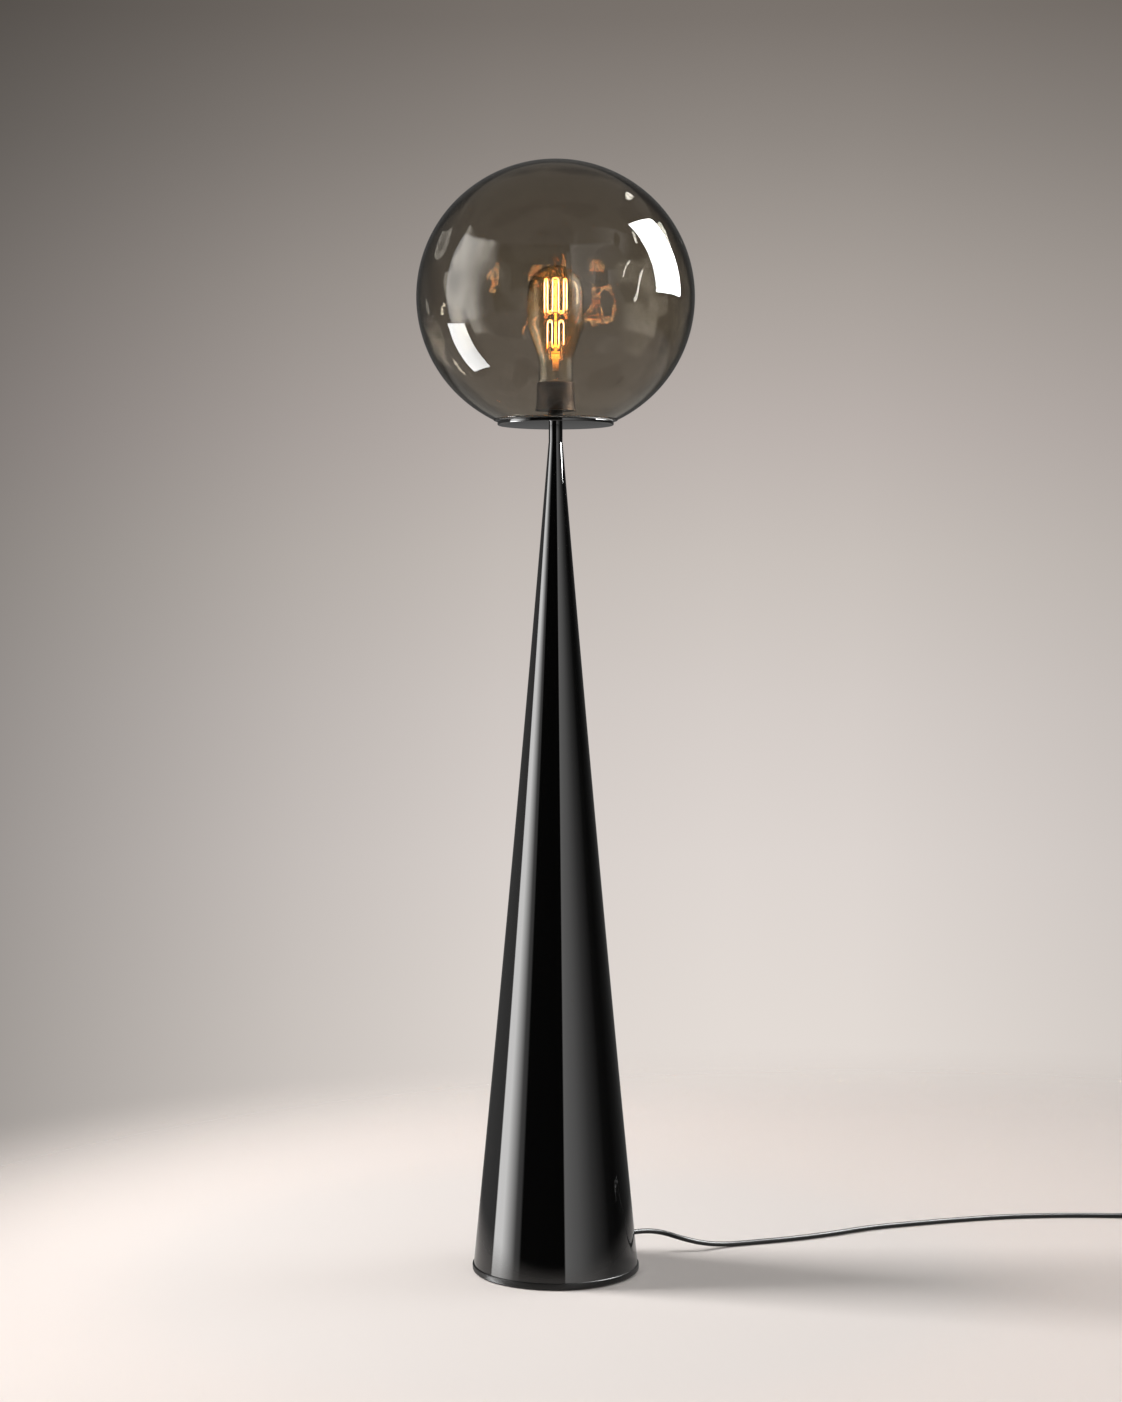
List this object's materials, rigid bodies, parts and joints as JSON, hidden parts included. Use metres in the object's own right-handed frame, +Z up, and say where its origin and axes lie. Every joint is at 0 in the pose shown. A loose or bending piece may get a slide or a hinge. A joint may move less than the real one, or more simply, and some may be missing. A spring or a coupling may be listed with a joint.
{
  "type": "globe floor lamp",
  "caption": "Floor lamp with a smoked glass globe over a vintage bulb on a tall flared black cone, with a cord, foot switch and plug",
  "frame": {"origin": "centre of the round foot, on the floor", "axes": "+Z up the lamp's axis; the cord leaves the cone 36 degrees from +X towards +Y and runs off along +X; -Y is the side that the picture was taken from"},
  "size_m": [1.0338, 0.3905, 1.2011],
  "materials": {
    "black_lacquer": "gloss black lacquer, almost a mirror",
    "black_satin": "satin black powder coat",
    "dark_bronze": "dark bronze, satin",
    "cast_iron": "as cast, primed grey",
    "steel": "zinc plated steel",
    "brass": "bare brass",
    "felt_black": "pressed felt",
    "silicone": "dark grey silicone",
    "smoked_glass": "smoked glass, lightly mirrored",
    "amber_glass": "clear glass, amber tint",
    "clear_glass": "clear",
    "porcelain": "glazed porcelain, off white",
    "black_glass": "black insulating glass",
    "hot_filament": "carbon filament, glowing orange when lit",
    "nickel": "thin nickel wire",
    "tinned": "bright metal cap",
    "black_plastic": "black, fine texture",
    "cord_black": "black sheath, satin",
    "wire_insulation": "brown and blue conductor insulation",
    "plated_pin": "nickel plated brass"
  },
  "bodies": {
    "lamp": {"floor_pad": "felt_black", "base_plate": "black_satin", "base_screws": "steel", "counterweight": "cast_iron", "cone_shell": "black_lacquer", "tip_plug": "steel", "tie_tube": "steel", "tie_washer": "steel", "tie_nut": "steel", "stem_tube": "black_lacquer", "threaded_nipple": "brass", "gallery_plate": "black_lacquer", "globe_seat_ring": "silicone", "holder_dome": "black_satin", "holder_skirt": "dark_bronze", "holder_core": "porcelain", "screw_shell": "brass", "centre_contact": "brass", "terminal_screws": "brass", "cord_boot": "black_plastic", "inner_lead": "cord_black", "core_wires": "wire_insulation", "cord_clamp": "steel", "clamp_screws": "steel", "supply_cord": "cord_black", "cord_coil": "cord_black", "switch_base": "black_plastic", "switch_cover": "black_plastic", "switch_screws": "steel", "plug_body": "black_plastic", "plug_pins": "plated_pin"},
    "globe": {"glass_globe": "smoked_glass"},
    "bulb_tip": {"bulb_contact": "tinned"},
    "bulb": {"bulb_glass": "amber_glass", "bulb_mount": "clear_glass", "upper_filament": "hot_filament", "lower_filament": "hot_filament", "filament_supports": "nickel", "bulb_cap": "tinned", "bulb_insulator": "black_glass"},
    "button": {"switch_button": "black_plastic"}
  },
  "joints": [
    {"name": "globe_lift", "type": "slide", "parent": "lamp", "child": "globe", "axis": [0, 0, 1], "range_m": [0, 0.18]},
    {"name": "bulb_rise", "type": "slide", "parent": "lamp", "child": "bulb_tip", "axis": [0, 0, 1], "range_m": [0, 0.01633]},
    {"name": "bulb_turn", "type": "hinge", "parent": "bulb_tip", "child": "bulb", "pos_m": [0, 0, 0.95], "axis": [0, 0, 1], "range_deg": [0, 1620]},
    {"name": "button_press", "type": "slide", "parent": "lamp", "child": "button", "axis": [0, 0, -1], "range_m": [0, 0.0022], "stiffness_N_per_m": 300, "springref_m": -0.002}
  ],
  "couplings": [
    {"joint": "bulb_rise", "follows": "bulb_turn", "m_per_rad": 0.00057757}
  ]
}
